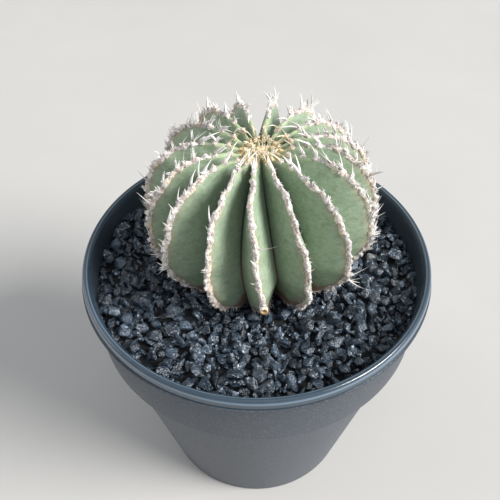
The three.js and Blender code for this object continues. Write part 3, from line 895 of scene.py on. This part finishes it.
def felt_points(crest, cushions, angles):
    """Points on a rib's felt at each length of a crest. The angles run over it from side to side."""
    places, sizes = cushions
    swell = (np.exp(-(((crest.lengths[:, None] - places) / 0.9) ** 2)) * sizes).sum(1)
    band = smoothstep(BAND_STARTS, BAND_FULL, crest.lengths)
    narrow = np.clip(crest.lengths / 4, 0.5, 1)
    uneven = 1 + 0.2 * ripple(crest.spot, 5, 220)
    width = (0.36 + 0.26 * band + (0.42 - 0.2 * band) * swell) * narrow * uneven
    rise = -1.3 + 1.15 * band + (1.4 - 0.8 * band) * swell
    across = -np.cos(angles) * width[:, None]
    lift = np.sin(angles) * np.where(np.sin(angles) > 0, rise[:, None] + 1.1, 0.5) - 1.1
    aside = crest.sideways[:, None] * across[..., None]
    return crest.spot[:, None] + aside + crest.out[:, None] * lift[..., None]


def felt_band(index, cushions):
    """The felt along a crest: tufts at the young cushions, then a lumpy cord."""
    crest = Crest(index, np.arange(0.2, wool_end(index), BAND_STEP))
    angles = np.linspace(0, 2 * np.pi, BAND_SIDES, endpoint=False)[None]
    points = felt_points(crest, cushions, angles)
    lumps = (
        0.14 * ripple(points, 2.4, 60 + index)
        + 0.1 * ripple(points, 1.1, 80 + index)
        + 0.05 * ripple(points, 0.5, 100 + index)
    )
    around = (
        crest.out[:, None] * np.sin(angles)[..., None]
        - crest.sideways[:, None] * np.cos(angles)[..., None]
    )
    lengths = np.repeat(crest.lengths[:, None], BAND_SIDES, 1)
    patchy = smoothstep(-0.4, 0.5, ripple(points, 8, 120 + index))
    on_right = 0 < RIB_PLACES[index] < np.pi
    front_side = np.cos(angles) * (1 if on_right else -1)
    most = 0.35 if on_right else 0.65
    tan = most * patchy * smoothstep(0.25, 0.9, front_side) * smoothstep(14, 24, lengths)
    return closed(
        # Darker mauve painted where the lumps dip, as shade in the hollows
        points + around * lumps[..., None], tan=tan, pit=0.7 * smoothstep(0.08, 0.24, -lumps),
        golden=0.8 * (1 - smoothstep(*GOLD_FADES, lengths)),
    )


def matted_hairs(index, cushions, rng):
    """Short ribbons of wool that lie mostly flat on the felt."""
    count = len(cushions[0]) * HAIRS_PER_CUSHION
    lengths = np.repeat(cushions[0], HAIRS_PER_CUSHION) + rng.normal(0, 0.85, count)
    crest = Crest(index, np.clip(lengths, 0.4, wool_end(index) - 0.2))
    angles = rng.uniform(0.1, np.pi - 0.1, (count, 1))
    roots = felt_points(crest, cushions, angles)[:, 0]
    around = crest.out * np.sin(angles) - crest.sideways * np.cos(angles)
    over = crest.out * np.cos(angles) + crest.sideways * np.sin(angles)
    directions = unit(
        around * rng.uniform(0.05, 0.3, (count, 1))
        + crest.crownward * rng.normal(0, 0.8, (count, 1))
        + over * rng.normal(0, 0.5, (count, 1))
    )
    return blades(
        roots, directions, np.cross(directions, around), rng.uniform(0.5, 1.2, count),
        rng.uniform(0.14, 0.32, count), 0.3, rng.normal(0, 0.25, (count, 3)), 2, WOOL,
        pit=0.5 * rng.beta(1, 3, count), golden=0.9 * (1 - smoothstep(*GOLD_FADES, crest.lengths)),
    )


def outer_tufts(index, cushions, rng):
    """Pale locks of hairs that stand out of the cushions, more and longer on the shaggier ribs."""
    share = RIBS[index][2]
    places = np.repeat(cushions[0][cushions[0] > 8], 2)
    places = places[rng.uniform(size=len(places)) < 0.1 + 0.45 * share]
    locks = len(places)
    way = np.stack([rng.uniform(0.4, 1, locks), rng.normal(0.3, 0.6, locks), rng.normal(0, 0.55, locks)])
    size = rng.uniform(1.1, 1.6 + 1.7 * share, locks) * (1 - 0.4 * smoothstep(34, 46, places))
    bend = rng.normal(0, 0.3, (locks, 3)) + [0, 0, 0.2]
    lengths = places + rng.normal(0, 0.3, locks)
    lengths, size, bend, way = (np.repeat(part, HAIRS_PER_LOCK, 0) for part in (lengths, size, bend, way.T))
    count = len(lengths)
    crest = Crest(index, np.clip(lengths + rng.normal(0, 0.2, count), 0.4, wool_end(index) - 0.2))
    directions = unit(
        crest.out * way[:, :1] + crest.crownward * way[:, 1:2] + crest.sideways * way[:, 2:]
        + 0.35 * share * UP + rng.normal(0, 0.09, (count, 3))
    )
    return blades(
        crest.spot + rng.normal(0, 0.22, (count, 3)), directions, rng.normal(size=(count, 3)),
        size * rng.uniform(0.7, 1, count), rng.uniform(0.35, 0.6, count), 0.5, bend, 5, SPINE,
        shade=rng.uniform(0.55, 1, count),
    )


def spine_rows(index, cushions, rng):
    """Gives each spine's length from the crown, size, width and parts of its direction out,
    crownward, sideways and up. Most young cushions hold a pair, old ones single spines or stubs."""
    share = RIBS[index][2]
    for length in cushions[0]:
        if length < STUBS_END:
            lean = 0.6, rng.normal(-0.3, 0.5), rng.normal(0, 0.4), 0
            yield length, rng.uniform(1.4, 2.4), rng.uniform(0.35, 0.6), *lean
            continue
        pairs = 0.65 if length < 9 else 0.85 if length < 14 else 0.1 + 0.4 * share
        if length < PAIRS_END and rng.uniform() < pairs:
            for side in (-1, 1):
                size = rng.uniform(2.8, 4.6)
                lean = rng.uniform(0.4, 1.0), side * rng.uniform(0.05, 0.3), rng.uniform(0.1, 0.5)
                if rng.uniform() < 0.85:
                    yield length, size, rng.uniform(0.85, 1.25), 0.4, *lean
        elif rng.uniform() < share * (0.65 if length < FEWER_FROM else 0.4):
            size = (2.2 + share + rng.uniform(0, 2.2)) * (1 if length < SHORTER_FROM else 0.75)
            lean = rng.uniform(0.5, 1.0), rng.uniform(-0.1, 0.7), rng.normal(0, 0.3), rng.uniform(0.2, 0.9)
            yield length, size, rng.uniform(0.8, 1.2), *lean
        for _ in range(rng.integers(0, 2)):
            lean = rng.uniform(0.5, 1.0), rng.normal(0.2, 0.5), rng.normal(0, 0.7), 0
            yield length, rng.uniform(0.8, 1.8), rng.uniform(0.3, 0.55), *lean


def spines(index, cushions, rng):
    single = [(*row[1:], 0) for row in SINGLE_SPINES if row[0] == index]
    rows = np.array([*spine_rows(index, cushions, rng), *single])
    length, size, width, out, crownward, sideways, up = rows.T
    count = len(length)
    length = np.clip(length + rng.normal(0, 0.3, count), 0.3, RIB_LENGTH - 0.2)
    crest = Crest(index, length)
    directions = unit(
        crest.out * out[:, None] + crest.crownward * crownward[:, None]
        + crest.sideways * sideways[:, None] + UP * up[:, None]
    )
    curls = crest.crownward * rng.uniform(0, 0.65, (count, 1)) + rng.normal(0, 0.18, (count, 3))
    flats = crest.sideways + rng.normal(0, 0.35, (count, 3))
    roots = crest.spot - crest.out * 0.4 + crest.sideways * (sideways * 0.5)[:, None]
    return blades(
        roots, directions, flats, size, width, 0.34, curls, 7, SPINE,
        shade=rng.uniform(0.4, 0.95, count), golden=1 - smoothstep(4, 10, length),
    )


def foot_fringe(index, foot, rng):
    """Ragged felt and short hairs along the lower edge of a rib, on both sides of its crest."""
    share = np.linspace(0.13, 0.87, FRINGE_STEPS)
    spacing = np.linspace(0, 1, len(foot))
    path = np.stack([np.interp(share, spacing, foot[:, axis]) for axis in range(3)], -1)
    out = unit(path - [*AXIS, 0] - path * UP)
    angles = np.linspace(0, 2 * np.pi, 10, endpoint=False)[None, :, None]
    around = out[:, None] * np.cos(angles) + UP * np.sin(angles)
    rings = path[:, None] + around * 0.6
    taper = np.sqrt(np.clip(1 - np.abs(2 * share - 1) / 0.75, 0.02, 1))[:, None, None]
    lumps = 0.25 * ripple(rings, 1.6, 140 + index) + 0.12 * ripple(rings, 0.8, 160 + index)
    rings = path[:, None] + UP * 0.3 + around * (0.6 + lumps[..., None]) * taper
    pit = 0.6 + 0.4 * np.clip(2 * ripple(rings, 2.2, 180 + index), -1, 1)
    felt = closed(rings, tan=0.5 * (1 - pit), pit=0.75 * pit)
    count = FRINGE_HAIRS
    spot = rng.integers(4, FRINGE_STEPS - 4, count)
    directions = unit(
        out[spot] * rng.uniform(0.3, 1, (count, 1)) - UP * rng.uniform(0.2, 1, (count, 1))
        + rng.normal(0, 0.35, (count, 3))
    )
    hairs = blades(
        path[spot] + rng.normal(0, 0.2, (count, 3)), directions, rng.normal(size=(count, 3)),
        rng.uniform(0.5, 1.3, count), rng.uniform(0.15, 0.32, count), 0.3,
        rng.normal(0, 0.25, (count, 3)), 2, WOOL, pit=0.6 * rng.beta(1, 2, count),
    )
    return [felt, hairs]


def rib_wool(index, foot, materials):
    rng = np.random.default_rng(2000 + index)
    cushions = cushions_of(index)
    patches = [
        felt_band(index, cushions), matted_hairs(index, cushions, rng), outer_tufts(index, cushions, rng),
        spines(index, cushions, rng), *foot_fringe(index, foot, rng),
    ]
    name = f"wool_and_spines_{index + 1:02d}"
    piece(name, patches, materials, [f"rib_wool_{index + 1:02d}"])


CROWN_MIDDLE = line_at(TOP_TURN)[1]


def crown_blades(rng, locks, each, spread, lengths, widths, rising):
    """Locks of wool or young spines that leave the crown, from roots up to spread from its middle."""
    reach = spread * np.sqrt(rng.uniform(0.02, 1, locks))
    angle = rng.uniform(0, 2 * np.pi, locks)
    roots = on_cactus(reach, angle, CROWN_MIDDLE + 0.3 + 0.03 * reach ** 2)
    outwards = np.stack([np.sin(angle), -np.cos(angle), np.zeros(locks)], -1)
    directions = (
        outwards * rng.uniform(-0.4, 1, (locks, 1)) + rng.normal(0, 0.4, (locks, 3))
        + UP * rng.uniform(*rising, (locks, 1))
    )
    shade, golden = rng.uniform(0.4, 1, locks), rng.uniform(0.3, 1, locks)
    lock = roots, directions, shade, golden, rng.uniform(*lengths, locks), rng.normal(0, 0.4, (locks, 3))
    roots, directions, shade, golden, size, curls = (np.repeat(part, each, 0) for part in lock)
    count = len(roots)
    return blades(
        roots + rng.normal(0, 0.2, (count, 3)), unit(directions + rng.normal(0, 0.2, (count, 3))),
        rng.normal(size=(count, 3)), size * rng.uniform(0.7, 1, count), rng.uniform(*widths, count), 0.3,
        curls, 5, SPINE, shade=shade, golden=golden,
    )


def crown_tuft(materials):
    """Young straw-coloured wool and spines where the ribs meet."""
    rng = np.random.default_rng(77)
    outline = [(0.3, 0.3), (1.1, 0.2), (1.9, -0.1), (2.5, -0.6), (2.7, -1.2), (2.2, -1.9), (0.3, -2.2)]
    rings = turned([(radius, CROWN_MIDDLE + rise) for radius, rise in outline], 40)
    rings = rings + [*AXIS, 0] + ripple(rings, 2.0, 5)[..., None] * [0.3, 0.3, 0.35]
    pit = 0.6 * smoothstep(0.2, 1, ripple(rings, 1.5, 6))
    mound = closed(rings, golden=0 * pit + 0.8, tan=0 * pit, pit=pit)
    wool = crown_blades(
        rng, locks=70, each=7, spread=5.3, lengths=(0.6, 1.5), widths=(0.28, 0.5), rising=(0.0, 0.4),
    )
    young = crown_blades(
        rng, locks=14, each=1, spread=5.2, lengths=(1.8, 3.0), widths=(0.5, 0.8), rising=(0.1, 0.45),
    )
    piece("crown_wool", [mound, wool, young], materials, ["crown_tuft"])


def rib_scar():
    """The round corky scar where the front rib ends."""
    crest = Crest(SCARRED_RIB, np.array([SCAR_LENGTH]))
    outline = [(0.05, 0.1), (0.45, 0.12), (0.75, 0.4), (1.05, 0.55), (1.3, 0.3), (1.35, -0.9)]
    facing = unit(crest.out[0] + [0, -0.15, 0.6])
    across = unit(np.cross(facing, crest.sideways[0]))
    beside = np.cross(across, facing)
    rings = turned(outline, SCAR_SIDES) @ [beside, across, facing] + (crest.spot[0] - crest.out[0] * 0.4)
    along = np.repeat(np.linspace(0, 1, len(outline))[:, None], SCAR_SIDES, 1)
    piece("rib_scar", [closed(rings[:, ::-1], along=along)], [scar_material()], [])


# Stage, light and camera

FOCAL_PIXELS = 650
PICTURE_PIXELS = 500
CAMERA_DISTANCE = 0.224
CAMERA_ELEVATION = math.radians(46.2)
CAMERA_PAN = math.radians(0.55)
CAMERA_TILT = math.radians(0.06)
FLOOR_HALF = 4.0
LIT_SPOT = Vector((0, 0, 0.1))
WORLD_COLOUR, WORLD_STRENGTH = (0.9, 0.95, 1.0, 1), 0.5

# Name, place, size, power and colour of each light
LIGHTS = [
    ("window", (3.86, -1.44, 3.0), 2.8, 455, (1.0, 0.985, 0.96)),
    ("overhead", (0.1, -0.35, 1.5), 0.5, 0.8, (0.97, 0.98, 1.0)),
    ("front_fill", (0.2, -1.5, 1.0), 1.2, 0.45, (0.97, 0.98, 1.0)),
    ("back_fill", (-0.9, 0.6, 1.0), 0.8, 1.6, (0.95, 0.97, 1.0)),
    ("left_bounce", (-1.2, 0.15, 0.47), 0.9, 3.4, (1.0, 0.98, 0.97)),
]


def camera():
    data = bpy.data.cameras.new("camera")
    data.sensor_width = 36
    data.lens = data.sensor_width * FOCAL_PIXELS / PICTURE_PIXELS
    data.clip_start = 0.005
    made = bpy.context.scene.camera = linked("camera", data)
    back = Vector((0, -math.cos(CAMERA_ELEVATION), math.sin(CAMERA_ELEVATION)))
    right = Vector((1, 0, 0))
    above = back.cross(right)
    pan = Matrix.Rotation(CAMERA_PAN, 3, above)
    tilt = Matrix.Rotation(CAMERA_TILT, 3, pan @ right)
    turn = tilt @ pan @ Matrix((right, above, back)).transposed()
    place = Vector((0, 0, POT_HEIGHT * MM)) + back * CAMERA_DISTANCE
    made.matrix_world = Matrix.Translation(place) @ turn.to_4x4()


def lights():
    for name, place, size, power, colour in LIGHTS:
        data = bpy.data.lights.new(name, "AREA")
        data.shape, data.size, data.energy, data.color = "DISK", size, power, colour
        made = linked(name, data)
        made.location = place
        made.rotation_euler = (LIT_SPOT - Vector(place)).to_track_quat("-Z", "Y").to_euler()
    world = bpy.context.scene.world = bpy.data.worlds.new("studio")
    world.use_nodes = True
    background = world.node_tree.nodes["Background"]
    background.inputs["Color"].default_value = WORLD_COLOUR
    background.inputs["Strength"].default_value = WORLD_STRENGTH
    bpy.context.scene.view_settings.view_transform = "Standard"


def ground():
    mesh = bpy.data.meshes.new("floor")
    corners = [(-1, -1, 0), (1, -1, 0), (1, 1, 0), (-1, 1, 0)]
    mesh.from_pydata(np.multiply(corners, FLOOR_HALF), [], [(0, 1, 2, 3)])
    nodes = Nodes("pale_floor", Roughness=0.7)
    nodes.base = nodes.mix(nodes.noise(90), (0.47, 0.46, 0.445), (0.525, 0.515, 0.5))
    mesh.materials.append(nodes.finish())
    floor = linked("floor", mesh)


camera()
lights()
ground()
pot()
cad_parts["soil"].material_slots[0].material = soil_material()
gravel()
rib_feet = cactus_stem()
wool_materials = [wool_material(), spine_material()]
for rib, rib_foot in enumerate(rib_feet):
    rib_wool(rib, rib_foot, wool_materials)
crown_tuft(wool_materials)
rib_scar()
